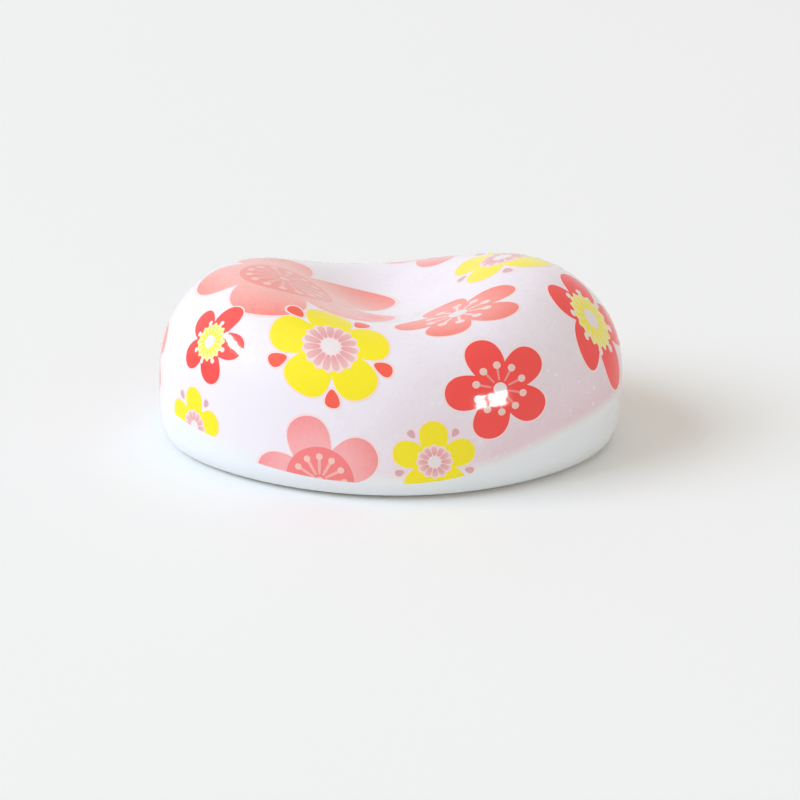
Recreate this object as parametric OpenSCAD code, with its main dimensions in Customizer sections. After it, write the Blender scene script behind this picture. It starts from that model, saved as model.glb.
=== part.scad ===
// Porcelain chopstick rest: a bean-shaped body with two lobes, a saddle between them
// for the chopstick tips, a glaze skin and a printed transfer over the crown.
// Millimetres. X runs along the rest, Y across it, Z up. The origin is on the table,
// under the middle of the rest.

/* [Form] */
// Length from end to end
rest_l = 50; // [44:0.5:60]
// Width from front to back
rest_w = 32.4; // [28:0.2:40]
// Height that the crown would have without its saddle
crown_h = 23.3; // [20:0.1:28]
// Height of the widest line above the table
belly_h = 6.5; // [5:0.1:9]
// Share by which the outline seen from above is slimmer than an ellipse between its ends and sides
plan_slim_share = 0.026; // [0:0.002:0.06]
// Squareness of the left lobe seen from the side, where 2 is an ellipse
left_power = 2.55; // [2:0.01:3]
// Squareness of the right lobe seen from the side
right_power = 2.33; // [2:0.01:3]

/* [Saddle] */
// Depth of the saddle at its lowest point
saddle_depth = 8.7; // [4:0.1:9]
// Half length over which the saddle eases out into the lobes
saddle_reach = 11.9; // [9:0.1:14]
// Half width over which the saddle eases out towards its two rims
saddle_spread = 17.1; // [12:0.1:24]
// Distance of the lowest point left of the middle
saddle_shift_left = 1.4; // [0:0.1:3]
// Distance of the lowest point behind the middle
saddle_shift_back = 2.5; // [0:0.1:4]
// How fast the saddle dies away down the flanks
saddle_fade = 1.5; // [1:0.1:2]

/* [Foot] */
// How far the foot draws in under the belly
foot_inset = 3; // [2:0.1:5]
// Squareness of the curve under the belly, where 2 is an ellipse
foot_power = 3.7; // [2:0.1:4.5]
// Width of the flat ring that the rest stands on
foot_ring_w = 3; // [2:0.1:4]
// Thickness of the clay above the hollow underside
wall_t = 5; // [4:0.1:6]
// Squareness of the hollow seen from the side, where 2 is an ellipse
hollow_power = 2.4; // [2:0.1:3]

/* [Glaze] */
// Thickness of the white glaze
glaze_t = 0.3; // [0.2:0.05:0.5]
// Height of bare clay left below the glaze
glaze_line_h = 0.4; // [0.4:0.1:1.5]

/* [Print] */
// Thickness of the fired transfer
film_t = 0.1; // [0.05:0.05:0.2]
// Height of the print's edge in the middle of the front and the back
print_edge_h = 2.3; // [2:0.1:4]
// How much higher that edge runs at the left end
print_rise_left = 2; // [0:0.1:4]
// How much higher that edge runs at the right end
print_rise_right = 4.1; // [0:0.1:5]
// How late that edge starts to climb towards the left end, where 2 is an even climb
print_late_left = 4; // [2:1:6]
// How late that edge starts to climb towards the right end
print_late_right = 2; // [2:1:6]

/* [Hidden] */
// Points round each ring of the surfaces, and rings down each stretch of them
ring_points = 60;
crown_rings = 16;
band_rings = 4;
foot_rings = 3;
hollow_rings = 8;

half_l = rest_l / 2;
half_w = rest_w / 2;
skin_t = glaze_t + film_t;
quarter = 90;

// A level runs from -1 at the foot through 0 at the belly to 1 at the crown's top.

// Distance from the axis to the outline with half axes l and w, in direction a
function outline_r(a, l, w) =
    let (u = pow(cos(a) / l, 2), v = pow(sin(a) / w, 2))
    (1 - plan_slim_share * 4 * u * v / pow(u + v, 2)) / sqrt(u + v);

// Share of a rounded quarter profile's run that is left at a level, and of its rise
function run_share(level, power) = pow(cos(quarter * level), 2 / power);
function rise_share(level, power) = pow(sin(quarter * level), 2 / power);

// Squareness of the crown in direction a: the left lobe is fuller than the right one
function crown_power(a) = right_power + (left_power - right_power) * (1 - cos(a)) / 2;

// Depth of the saddle over a point of the plan where the crown has risen by a share
function saddle_dip(x, y, rise) =
    saddle_depth * pow(rise, saddle_fade)
    * exp(-pow((x + saddle_shift_left) / saddle_reach, 2))
    * exp(-pow((y - saddle_shift_back) / saddle_spread, 2));

// Point of the crown in direction a, at a level from 0 to 1, t under the outer surface
function crown_point(a, level, t) =
    let (run = run_share(level, crown_power(a)),
         rise = rise_share(level, crown_power(a)),
         r = run * outline_r(a, half_l - t, half_w - t),
         x = r * cos(a),
         y = r * sin(a))
    [x, y, belly_h + (crown_h - t - belly_h) * rise - saddle_dip(x, y, rise)];

// Point of the flank under the belly, at a level from -1 to 0
function flank_point(a, level, t) =
    let (inset = t + foot_inset * (1 - run_share(-level, foot_power)),
         r = outline_r(a, half_l - inset, half_w - inset))
    [r * cos(a), r * sin(a), belly_h * (1 - rise_share(-level, foot_power))];

function form_point(a, level, t) =
    level < 0 ? flank_point(a, level, t) : crown_point(a, level, t);

// Level of the flank at a height under the belly
function flank_level(h) = -asin(pow(1 - h / belly_h, foot_power / 2)) / quarter;

// Level of the print's lower edge in direction a: it climbs towards both ends
function print_edge_level(a) =
    let (left = cos(a) < 0,
         rise = left ? print_rise_left : print_rise_right,
         late = left ? print_late_left : print_late_right)
    flank_level(min(belly_h, print_edge_h + rise * pow(abs(cos(a)), late)));

// Rings of points, from the top down
function angle(j) = 360 * j / ring_points;

// Ring that lies a share of the way from one edge to the next, each edge a level per direction
function ring_between(from, to, share, t) =
    [for (j = [0 : ring_points - 1])
        form_point(angle(j), from[j] + (to[j] - from[j]) * share, t)];

crown_edge = [for (j = [0 : ring_points - 1]) 1];
print_edge = [for (j = [0 : ring_points - 1]) print_edge_level(angle(j))];
glaze_edge = [for (j = [0 : ring_points - 1]) flank_level(glaze_line_h)];
foot_edge = [for (j = [0 : ring_points - 1]) -1];

function printed_rings(t) =
    [for (i = [1 : crown_rings]) ring_between(crown_edge, print_edge, i / crown_rings, t)];
function band_rings_at(t) =
    [for (i = [1 : band_rings]) ring_between(print_edge, glaze_edge, i / band_rings, t)];
function bare_rings(t) =
    [for (i = [1 : foot_rings]) ring_between(glaze_edge, foot_edge, i / foot_rings, t)];
function top_point(t) = form_point(0, 1, t);

// Hollow underside: its roof follows the crown at the clay's thickness and turns down
// to a rounded mouth inside the foot ring
hollow_half_l = half_l - skin_t - foot_inset - foot_ring_w;
hollow_half_w = half_w - skin_t - foot_inset - foot_ring_w;

// Share of the crown's rise over a point of the plan
function rise_over(x, y) =
    let (power = crown_power(atan2(y, x)),
         run = norm([x, y]) / outline_r(atan2(y, x), half_l, half_w))
    pow(1 - pow(run, power), 1 / power);
function roof_h(x, y) =
    let (rise = rise_over(x, y))
    belly_h + (crown_h - belly_h) * rise - saddle_dip(x, y, rise) - skin_t - wall_t;
function hollow_point(a, level) =
    let (r = run_share(level, hollow_power)
             * outline_r(a, hollow_half_l, hollow_half_w),
         x = r * cos(a),
         y = r * sin(a))
    [x, y, roof_h(x, y) * rise_share(level, hollow_power)];
function hollow_rings_up() =
    [for (i = [0 : hollow_rings - 1])
        [for (j = [0 : ring_points - 1]) hollow_point(angle(j), i / hollow_rings)]];

// Closed surface through a top point, a run of rings and an end point. Past the ring
// numbered turn the surface comes back, and its facets split the other way, so that two
// layers that meet share every facet.
module ring_loft(start, rings, turn, end) {
    points = concat([start], [for (r = rings) each r], [end]);
    last = len(rings) - 1;
    function at(i, j) = 1 + i * ring_points + j % ring_points;
    polyhedron(points, concat(
        [for (j = [0 : ring_points - 1]) [0, at(0, j + 1), at(0, j)]],
        [for (i = [0 : last - 1], j = [0 : ring_points - 1]) each
            i < turn
            ? [[at(i, j), at(i, j + 1), at(i + 1, j + 1)], [at(i, j), at(i + 1, j + 1), at(i + 1, j)]]
            : [[at(i, j), at(i, j + 1), at(i + 1, j)], [at(i, j + 1), at(i + 1, j + 1), at(i + 1, j)]]],
        [for (j = [0 : ring_points - 1]) [len(points) - 1, at(last, j), at(last, j + 1)]]));
}

function reversed(list) = [for (i = [len(list) - 1 : -1 : 0]) list[i]];

// Layer between two depths under the outer surface, whose rings a function gives
module layer(outer_rings, inner_rings, outer_t, inner_t) {
    ring_loft(top_point(outer_t), concat(outer_rings, reversed(inner_rings)),
              len(outer_rings), top_point(inner_t));
}

// Moulded clay body with a flat foot ring and a hollow underside
module porcelain_body() {
    outside = concat(printed_rings(skin_t), band_rings_at(skin_t), bare_rings(skin_t));
    color("ivory")
        ring_loft(top_point(skin_t), concat(outside, hollow_rings_up()), len(outside),
                  hollow_point(0, 1));
}

// Glaze over the whole outside, down to the bare foot
module white_glaze() {
    color("white")
        layer(concat(printed_rings(film_t), band_rings_at(film_t)),
              concat(printed_rings(skin_t), band_rings_at(skin_t)), film_t, skin_t);
}

// Printed transfer over the crown, with the pale pink ground of the blossoms
module transfer_film() {
    color("pink") layer(printed_rings(0), printed_rings(film_t), 0, film_t);
}

porcelain_body();
white_glaze();
transfer_film();
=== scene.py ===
"""Looks of a porcelain chopstick rest: clay, glaze and a printed transfer of plum blossoms.

Lengths are in metres, in the part's own frame: X along the rest, Y from the front to the
back, Z up, with the origin on the table under the middle of the rest.
"""
import logging
import math
from dataclasses import dataclass, field, fields, replace
from enum import Enum
from typing import Any, Callable, Dict, List, Optional, Sequence, Tuple, Union

import bpy
from mathutils import Matrix, Vector


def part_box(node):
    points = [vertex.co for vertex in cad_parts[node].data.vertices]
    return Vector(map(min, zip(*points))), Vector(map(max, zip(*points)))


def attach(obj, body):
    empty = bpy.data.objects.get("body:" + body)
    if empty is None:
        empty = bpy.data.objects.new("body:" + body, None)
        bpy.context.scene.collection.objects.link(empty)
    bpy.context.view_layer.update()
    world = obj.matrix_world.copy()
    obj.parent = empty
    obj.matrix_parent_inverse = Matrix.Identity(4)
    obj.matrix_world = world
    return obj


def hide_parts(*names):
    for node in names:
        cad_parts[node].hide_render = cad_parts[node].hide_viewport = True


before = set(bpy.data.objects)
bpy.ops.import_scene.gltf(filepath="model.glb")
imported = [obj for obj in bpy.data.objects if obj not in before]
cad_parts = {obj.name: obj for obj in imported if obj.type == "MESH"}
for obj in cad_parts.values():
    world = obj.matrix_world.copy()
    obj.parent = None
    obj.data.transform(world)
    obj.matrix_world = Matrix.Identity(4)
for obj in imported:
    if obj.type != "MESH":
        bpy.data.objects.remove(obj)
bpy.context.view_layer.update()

log = logging.getLogger("chopstick_rest")

MM = 0.001
TURN = 2 * math.pi
QUARTER_TURN = math.pi / 2


class Value:
    """A node socket read as a number. Arithmetic on it adds Math nodes."""

    def __init__(self, graph: "Graph", socket: bpy.types.NodeSocket) -> None:
        """Wraps a socket of a graph."""
        self.graph = graph
        self.socket = socket

    def __add__(self, other: "Number") -> "Value":
        """Sum."""
        return self.graph.maths("ADD", self, other)

    def __radd__(self, other: float) -> "Value":
        """Sum, with the number first."""
        return self.graph.maths("ADD", other, self)

    def __sub__(self, other: "Number") -> "Value":
        """Difference."""
        return self.graph.maths("SUBTRACT", self, other)

    def __rsub__(self, other: float) -> "Value":
        """Difference, with the number first."""
        return self.graph.maths("SUBTRACT", other, self)

    def __mul__(self, other: "Number") -> "Value":
        """Product."""
        return self.graph.maths("MULTIPLY", self, other)

    def __rmul__(self, other: float) -> "Value":
        """Product, with the number first."""
        return self.graph.maths("MULTIPLY", other, self)

    def __truediv__(self, other: "Number") -> "Value":
        """Quotient."""
        return self.graph.maths("DIVIDE", self, other)

    def __rtruediv__(self, other: float) -> "Value":
        """Quotient, with the number first."""
        return self.graph.maths("DIVIDE", other, self)

    def __pow__(self, other: "Number") -> "Value":
        """Power of a number that isn't negative."""
        return self.graph.maths("POWER", self, other)

    def __neg__(self) -> "Value":
        """The number with its sign turned."""
        return self.graph.maths("MULTIPLY", self, -1.0)

    def __lt__(self, other: "Number") -> "Value":
        """1 where it is less, or else 0."""
        return self.graph.maths("LESS_THAN", self, other)

    def __gt__(self, other: "Number") -> "Value":
        """1 where it is greater, or else 0."""
        return self.graph.maths("GREATER_THAN", self, other)


Number = Union[float, Value]
Point = Tuple[Number, Number, Number]
Place = Callable[[Value, Value], Point]
Rule = Callable[[Value, Value], Number]
Colour = Tuple[int, int, int]
Socket = bpy.types.NodeSocket


class Graph:
    """A node tree of either kind that grows by calls and by expressions on its values.

    The colour sockets of a Mix node go by number, because its names repeat.
    """

    MIX_FIRST = 6
    MIX_SECOND = 7
    MIX_RESULT = 2

    def __init__(self, tree: bpy.types.NodeTree) -> None:
        """Wraps a node tree."""
        self.tree = tree

    def feed(self, socket: Socket, value: Any) -> None:
        """Links a socket to a value's socket, or sets it.

        Args:
            socket: The input to feed.
            value: A Value, a socket, a list of sockets for a joining input, or a constant.
        """
        if isinstance(value, list):
            for single in value:
                self.feed(socket, single)
        elif isinstance(value, Value):
            self.tree.links.new(value.socket, socket)
        elif isinstance(value, bpy.types.NodeSocket):
            self.tree.links.new(value, socket)
        else:
            socket.default_value = value

    def node(self, kind: str, settings: Optional[Dict[str, Any]] = None,
             inputs: Optional[Dict[Any, Any]] = None) -> bpy.types.Node:
        """Adds a node.

        Args:
            kind: The node's type.
            settings: Its settings, which are set first.
            inputs: Values or links of its sockets, by name or number.

        Returns:
            The node.
        """
        made = self.tree.nodes.new(kind)
        for name, value in (settings or {}).items():
            setattr(made, name, value)
        for name, value in (inputs or {}).items():
            self.feed(made.inputs[name], value)
        return made

    def maths(self, operation: str, *numbers: Number) -> Value:
        """One Math node on numbers."""
        made = self.node("ShaderNodeMath", {"operation": operation}, dict(enumerate(numbers)))
        return Value(self, made.outputs[0])

    def clamp(self, number: Number) -> Value:
        """Keeps a number between 0 and 1.

        Args:
            number: The number.

        Returns:
            The number, or the nearer end.
        """
        made = self.node("ShaderNodeMath", {"operation": "ADD", "use_clamp": True},
                         {0: number, 1: 0.0})
        return Value(self, made.outputs[0])

    def ease(self, number: Number) -> Value:
        """The number kept between 0 and 1, with a soft start and end."""
        share = self.clamp(number)
        return share * share * (3 - 2 * share)

    def vector(self, operation: str, *vectors: Any) -> Socket:
        """One Vector Math node on vectors.

        Args:
            operation: The node's operation.
            vectors: Its first inputs; a Value after them goes to a scale operation's factor.

        Returns:
            The vector, or the number of an operation that gives one.
        """
        made = self.node("ShaderNodeVectorMath", {"operation": operation})
        for place, vector in enumerate(vectors):
            by_scale = operation == "SCALE" and place == 1
            self.feed(made.inputs["Scale" if by_scale else place], vector)
        return made.outputs["Value" if operation in ("DOT_PRODUCT", "LENGTH") else "Vector"]

    def split(self, vector: Socket) -> Tuple[Value, Value, Value]:
        """A vector's three numbers."""
        made = self.node("ShaderNodeSeparateXYZ", inputs={0: vector})
        return tuple(Value(self, out) for out in made.outputs)

    def joined(self, point: Sequence[Number]) -> Socket:
        """The vector of three numbers."""
        return self.node("ShaderNodeCombineXYZ", inputs=dict(enumerate(point))).outputs[0]

    def mix(self, share: Number, first: Any, second: Any) -> Socket:
        """Mixes two colours.

        Args:
            share: The second colour's share.
            first: A colour, or a socket that gives one.
            second: Another one.

        Returns:
            The colour between them.
        """
        made = self.node("ShaderNodeMix", {"data_type": "RGBA"},
                         {"Factor": share, self.MIX_FIRST: first, self.MIX_SECOND: second})
        return made.outputs[self.MIX_RESULT]


def sine(angle: Number) -> Number:
    """Sine of a number or of a value."""
    return angle.graph.maths("SINE", angle) if isinstance(angle, Value) else math.sin(angle)


def cosine(angle: Number) -> Number:
    """Cosine of a number or of a value."""
    return angle.graph.maths("COSINE", angle) if isinstance(angle, Value) else math.cos(angle)


def arcsine(share: Number) -> Number:
    """Angle in radians whose sine is a number or a value."""
    return share.graph.maths("ARCSINE", share) if isinstance(share, Value) else math.asin(share)


def exponential(power: Number) -> Number:
    """The exponential of a number or of a value."""
    return power.graph.maths("EXPONENT", power) if isinstance(power, Value) else math.exp(power)


def linear(red: int, green: int, blue: int) -> Tuple[float, float, float, float]:
    """Turns a colour that is written as a screen shows it into a linear one, by the sRGB curve.

    Args:
        red: Red from 0 to 255.
        green: Green from 0 to 255.
        blue: Blue from 0 to 255.

    Returns:
        The linear colour, with an alpha of 1.
    """
    def one(step: int) -> float:
        """One channel."""
        share = step / 255
        return share / 12.92 if share <= 0.04045 else ((share + 0.055) / 1.055) ** 2.4
    return one(red), one(green), one(blue), 1.0


@dataclass(frozen=True)
class Form:
    """Outer form of the rest: a bean with two lobes and a saddle, and its layers' depths.

    A bearing is the angle round the rest, anticlockwise from its right end. A level runs
    from -1 at the foot through 0 at the belly to 1 at the crown's top. A depth is measured
    inwards from the outermost surface. The print's edge stays a gap under the belly.
    """

    half_l: Number
    half_w: Number
    crown_h: Number = 23.3 * MM
    belly_h: Number = 6.5 * MM
    slim_share: Number = 0.026
    left_power: Number = 2.55
    right_power: Number = 2.33
    saddle_depth: Number = 8.7 * MM
    saddle_reach: Number = 11.9 * MM
    saddle_spread: Number = 17.1 * MM
    saddle_left: Number = 1.4 * MM
    saddle_back: Number = 2.5 * MM
    saddle_fade: Number = 1.5
    foot_inset: Number = 3 * MM
    foot_power: Number = 3.7
    foot_ring_w: Number = 3 * MM
    wall_t: Number = 5 * MM
    hollow_power: Number = 2.4
    clay_depth: Number = 0.4 * MM
    glaze_depth: Number = 0.1 * MM
    print_depth: Number = 0.05 * MM
    glaze_line_h: Number = 0.4 * MM
    print_edge_h: Number = 2.3 * MM
    print_rise_left: Number = 2.0 * MM
    print_rise_right: Number = 4.1 * MM
    print_gap: Number = 0.1 * MM

    def outline(self, bearing: Number, inset: Number) -> Number:
        """Distance from the axis to the outline seen from above.

        Args:
            bearing: The angle round the rest.
            inset: How far the outline is drawn in.

        Returns:
            The distance.
        """
        along = cosine(bearing) / (self.half_l - inset)
        across = sine(bearing) / (self.half_w - inset)
        u = along * along
        v = across * across
        return (1 - self.slim_share * 4 * u * v / ((u + v) * (u + v))) / (u + v) ** 0.5

    def power(self, bearing: Number) -> Number:
        """Squareness of the crown: the left lobe is fuller than the right one."""
        return self.right_power + (self.left_power - self.right_power) * (1 - cosine(bearing)) / 2

    def dip(self, x: Number, y: Number, rise: Number) -> Number:
        """Depth of the saddle over a point of the plan.

        Args:
            x: The point's distance right of the middle.
            y: Its distance behind the middle.
            rise: Share to which the crown has risen there.

        Returns:
            The depth.
        """
        along = (x + self.saddle_left) / self.saddle_reach
        across = (y - self.saddle_back) / self.saddle_spread
        return self.saddle_depth * rise ** self.saddle_fade * exponential(
            -1 * (along * along + across * across))

    def crown(self, bearing: Number, level: Number, depth: Number) -> Point:
        """Point of the crown.

        Args:
            bearing: The angle round the rest.
            level: From 0 at the belly to 1 at the top.
            depth: How far under the outermost surface.

        Returns:
            The point.
        """
        power = self.power(bearing)
        rise = sine(level * QUARTER_TURN) ** (2 / power)
        reach = cosine(level * QUARTER_TURN) ** (2 / power) * self.outline(bearing, depth)
        x = reach * cosine(bearing)
        y = reach * sine(bearing)
        top = self.crown_h - depth - self.belly_h
        return x, y, self.belly_h + top * rise - self.dip(x, y, rise)

    def foot(self, bearing: Number, level: Number, depth: Number) -> Point:
        """Point of the flank under the belly.

        Args:
            bearing: The angle round the rest.
            level: From -1 at the table to 0 at the belly.
            depth: How far under the outermost surface.

        Returns:
            The point.
        """
        run = cosine(level * QUARTER_TURN) ** (2 / self.foot_power)
        drop = sine(-1 * level * QUARTER_TURN) ** (2 / self.foot_power)
        reach = self.outline(bearing, depth + self.foot_inset * (1 - run))
        return reach * cosine(bearing), reach * sine(bearing), self.belly_h * (1 - drop)

    def wall(self, bearing: Number, height: Number, depth: Number) -> Point:
        """Point of the flank under the belly, found by its height.

        Args:
            bearing: The angle round the rest.
            height: The height above the table.
            depth: How far under the outermost surface.

        Returns:
            The point.
        """
        drop = (1 - height / self.belly_h) ** self.foot_power
        inset = depth + self.foot_inset * (1 - (1 - drop) ** (1 / self.foot_power))
        reach = self.outline(bearing, inset)
        return reach * cosine(bearing), reach * sine(bearing), height

    def print_edge(self, bearing: Value) -> Value:
        """Height of the print's lower edge, which climbs to both ends, and late to the left.

        Args:
            bearing: The angle round the rest.

        Returns:
            The height above the table.
        """
        along = cosine(bearing)
        square = along * along
        left = self.print_rise_left * square * square
        climb = left + (self.print_rise_right * square - left) * (along > 0)
        return bearing.graph.maths("MINIMUM", self.print_edge_h + climb,
                                   self.belly_h - self.print_gap)

    def hollow(self, bearing: Value, level: Value) -> Point:
        """Point of the hollow underside.

        Args:
            bearing: The angle round the rest.
            level: From 0 at its mouth to 1 at its roof.

        Returns:
            The point.
        """
        margin = self.clay_depth + self.foot_inset + self.foot_ring_w
        reach = (cosine(level * QUARTER_TURN) ** (2 / self.hollow_power)
                 * self.outline(bearing, margin))
        x = reach * cosine(bearing)
        y = reach * sine(bearing)
        power = self.power(bearing)
        rise = (1 - (reach / self.outline(bearing, 0.0)) ** power) ** (1 / power)
        roof = (self.belly_h + (self.crown_h - self.belly_h) * rise - self.dip(x, y, rise)
                - self.clay_depth - self.wall_t)
        return x, y, roof * sine(level * QUARTER_TURN) ** (2 / self.hollow_power)

    def glaze_line_level(self) -> Number:
        """Level of the flank at the height where the glaze ends."""
        return -1 * arcsine((1 - self.glaze_line_h / self.belly_h)
                            ** (self.foot_power / 2)) / QUARTER_TURN

    def point(self, bearing: float, level: float) -> Vector:
        """Point of the print's surface at a bearing and a level."""
        place = self.crown if level >= 0 else self.foot
        return Vector(place(bearing, level, self.print_depth))


@dataclass(frozen=True)
class Finish:
    """What every finish of the rest shares."""

    name: str

    NOISE_MIDDLE = 0.5
    IOR = 1.5
    SPECULAR = 0.3
    COAT = 0.4
    COAT_ROUGHNESS = 0.03
    GLOSS_ROUGHNESS = 0.1
    WAVE = 4 * MM
    WAVE_STRENGTH = 0.12
    WAVE_DEPTH = 0.02 * MM
    WAVE_DULLING = 0.04

    def material(self) -> bpy.types.Material:
        """Makes the finish's node material, or finds it if it was made before.

        Returns:
            The material.
        """
        made = bpy.data.materials.get(self.name)
        if made is None:
            made = bpy.data.materials.new(self.name)
            made.use_nodes = True
            graph = Graph(made.node_tree)
            self.dress(graph, made.node_tree.nodes["Principled BSDF"])
        return made

    def dress(self, graph: Graph, surface: bpy.types.Node) -> None:
        """Sets the surface's look; each finish has its own."""
        raise NotImplementedError

    def place(self, graph: Graph) -> Socket:
        """The point on the object."""
        return graph.node("ShaderNodeTexCoord").outputs["Object"]

    def marked(self, graph: Graph, name: str) -> Value:
        """A value that the mesh carries."""
        made = graph.node("ShaderNodeAttribute", {"attribute_name": name})
        return Value(graph, made.outputs["Fac"])

    def noise(self, graph: Graph, grain: float, detail: float = 2.0) -> Value:
        """Noise over the object.

        Args:
            graph: The material's nodes.
            grain: The size of its patches.
            detail: How many finer layers it has.

        Returns:
            The noise, from 0 to 1.
        """
        made = graph.node("ShaderNodeTexNoise", inputs={
            "Vector": self.place(graph), "Scale": 1 / grain, "Detail": detail})
        return Value(graph, made.outputs["Fac"])

    def bumped(self, graph: Graph, surface: bpy.types.Node, height: Value, strength: float,
               depth: float) -> None:
        """Roughens the surface's normal by a height.

        Args:
            graph: The material's nodes.
            surface: The surface node.
            height: The height, from 0 to 1.
            strength: How much of the bump shows.
            depth: The length that a height of 1 stands for.
        """
        bump = graph.node("ShaderNodeBump", inputs={
            "Strength": strength, "Distance": depth, "Height": height})
        graph.feed(surface.inputs["Normal"], bump.outputs["Normal"])

    def gloss(self, graph: Graph, surface: bpy.types.Node) -> None:
        """Fired gloss with the faint waves of a glaze that ran smooth.

        Args:
            graph: The material's nodes.
            surface: The surface node.
        """
        for name, value in (("IOR", self.IOR), ("Specular IOR Level", self.SPECULAR),
                            ("Coat Weight", self.COAT), ("Coat IOR", self.IOR),
                            ("Coat Roughness", self.COAT_ROUGHNESS)):
            surface.inputs[name].default_value = value
        waves = self.noise(graph, self.WAVE)
        self.bumped(graph, surface, waves, self.WAVE_STRENGTH, self.WAVE_DEPTH)
        graph.feed(surface.inputs["Roughness"],
                   self.GLOSS_ROUGHNESS + (waves - self.NOISE_MIDDLE) * self.WAVE_DULLING)


@dataclass(frozen=True)
class Clay(Finish):
    """Bare fired clay: matt, a little warm, with fine specks and a dusty grain."""

    PALE = (236, 230, 219)
    DEEP = (226, 218, 205)
    BROWN = (190, 172, 150)
    PATCH = 3 * MM
    GRAIN = 0.15 * MM
    GRAIN_DETAIL = 4.0
    GRAIN_STRENGTH = 0.5
    GRAIN_DEPTH = 0.03 * MM
    SPECK = 0.3 * MM
    SPECK_FROM = 0.72
    SPECK_EDGE = 12
    ROUGHNESS = 0.78
    DUSTING = 0.2

    def dress(self, graph: Graph, surface: bpy.types.Node) -> None:
        """Matt body with specks and grain.

        Args:
            graph: The material's nodes.
            surface: The surface node.
        """
        patches = self.noise(graph, self.PATCH)
        grain = self.noise(graph, self.GRAIN, self.GRAIN_DETAIL)
        specks = graph.clamp((self.noise(graph, self.SPECK, 0.0) - self.SPECK_FROM)
                             * self.SPECK_EDGE)
        body = graph.mix(patches, linear(*self.PALE), linear(*self.DEEP))
        graph.feed(surface.inputs["Base Color"], graph.mix(specks, body, linear(*self.BROWN)))
        graph.feed(surface.inputs["Roughness"],
                   self.ROUGHNESS + (grain - self.NOISE_MIDDLE) * self.DUSTING)
        self.bumped(graph, surface, grain, self.GRAIN_STRENGTH, self.GRAIN_DEPTH)


@dataclass(frozen=True)
class Glaze(Finish):
    """Clear white glaze with a cool cast, a little deeper where it pooled low down."""

    foot_h: float
    pool_h: float = 2.4 * MM

    PALE = (242, 247, 253)
    DEEP = (237, 243, 250)
    POOLED = (224, 231, 233)
    POOLED_SHARE = 0.6
    PATCH = 6 * MM

    def dress(self, graph: Graph, surface: bpy.types.Node) -> None:
        """Cool white that deepens towards the glaze line.

        Args:
            graph: The material's nodes.
            surface: The surface node.
        """
        _, _, height = graph.split(self.place(graph))
        pooled = 1 - graph.ease((height - self.foot_h) / self.pool_h)
        patches = self.noise(graph, self.PATCH)
        white = graph.mix(patches, linear(*self.PALE), linear(*self.DEEP))
        graph.feed(surface.inputs["Base Color"],
                   graph.mix(pooled * self.POOLED_SHARE, white, linear(*self.POOLED)))
        self.gloss(graph, surface)


@dataclass(frozen=True)
class PrintedGround(Finish):
    """Pale pink printed ground: mottled, with fine white specks, fading out at its edge.

    The pink's strength is a sum: the same all over, more to the right, more low down, most
    low down at the right, and varied by patches and by a fine grain. The rise to the right
    and low down is painted shade. It stands in for the glaze's white sheen, which pales the
    pink up high and at the left.
    """

    reach: float
    speck_gap: float = 0.9 * MM
    speck: float = 0.27

    PALE = (245, 240, 251)
    PINK = (233, 202, 213)
    SPECK_WHITE = (252, 248, 252)
    BARE = (241, 245, 249)
    PATCH = 5 * MM
    PATCH_DETAIL = 3.0
    FINE = 0.5 * MM
    # Painted shade: the height scale and the pink's rise to the right and low down, which stand in
    # for less of the glaze's white sheen there.
    PAINTED_SHADE_LOW_H = 16 * MM
    PINK_ALL_OVER = 0.04
    PAINTED_SHADE_PINK_RIGHT = 0.12
    PAINTED_SHADE_PINK_LOW = 0.3
    PAINTED_SHADE_PINK_LOW_RIGHT = 1.0
    PINK_PATCHES = 0.5
    PINK_FINE = 0.35
    SPECKS_LEAST = 0.4
    SPECKS_RIGHT = 0.4
    SPECK_EDGE = 8
    BEND_GRAIN = 0.4 * MM
    BEND = 0.3 * MM

    def specks(self, graph: Graph, place: Socket) -> Value:
        """Soft specks, each of its own size, that a few cells of a fine mesh hold.

        Args:
            graph: The material's nodes.
            place: The point on the rest.

        Returns:
            1 in a speck, and 0 beside it.
        """
        bends = graph.node("ShaderNodeTexNoise", inputs={
            "Vector": place, "Scale": 1 / self.BEND_GRAIN}).outputs["Color"]
        bent = graph.vector("ADD", place, graph.vector("SCALE", bends, self.BEND))
        dots = graph.node("ShaderNodeTexVoronoi", inputs={
            "Vector": bent, "Scale": 1 / self.speck_gap, "Randomness": 1.0})
        pick, _, _ = graph.split(dots.outputs["Color"])
        return graph.clamp((pick * self.speck - Value(graph, dots.outputs["Distance"]))
                           * self.SPECK_EDGE)

    def dress(self, graph: Graph, surface: bpy.types.Node) -> None:
        """Pink with painted shade that is stronger at the right and low down,
        with patches, specks and a soft lower edge.

        Args:
            graph: The material's nodes.
            surface: The surface node.
        """
        place = self.place(graph)
        along, _, height = graph.split(place)
        patches = self.noise(graph, self.PATCH, self.PATCH_DETAIL) - self.NOISE_MIDDLE
        fine = self.noise(graph, self.FINE) - self.NOISE_MIDDLE
        # Painted shade: the pink deepens low down and to the right, where less white sheen pales
        # it.
        low = 1 - graph.ease(height / self.PAINTED_SHADE_LOW_H)
        right = along / self.reach
        strength = graph.clamp(self.PINK_ALL_OVER + right * self.PAINTED_SHADE_PINK_RIGHT
                               + low * (self.PAINTED_SHADE_PINK_LOW + right * self.PAINTED_SHADE_PINK_LOW_RIGHT)
                               + patches * self.PINK_PATCHES + fine * self.PINK_FINE)
        ground = graph.mix(strength, linear(*self.PALE), linear(*self.PINK))
        ground = graph.mix(
            self.specks(graph, place) * (self.SPECKS_LEAST + right * self.SPECKS_RIGHT),
            ground, linear(*self.SPECK_WHITE))
        graph.feed(surface.inputs["Base Color"],
                   graph.mix(graph.ease(self.marked(graph, Layers.FADE)), linear(*self.BARE),
                             ground))
        self.gloss(graph, surface)


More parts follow.
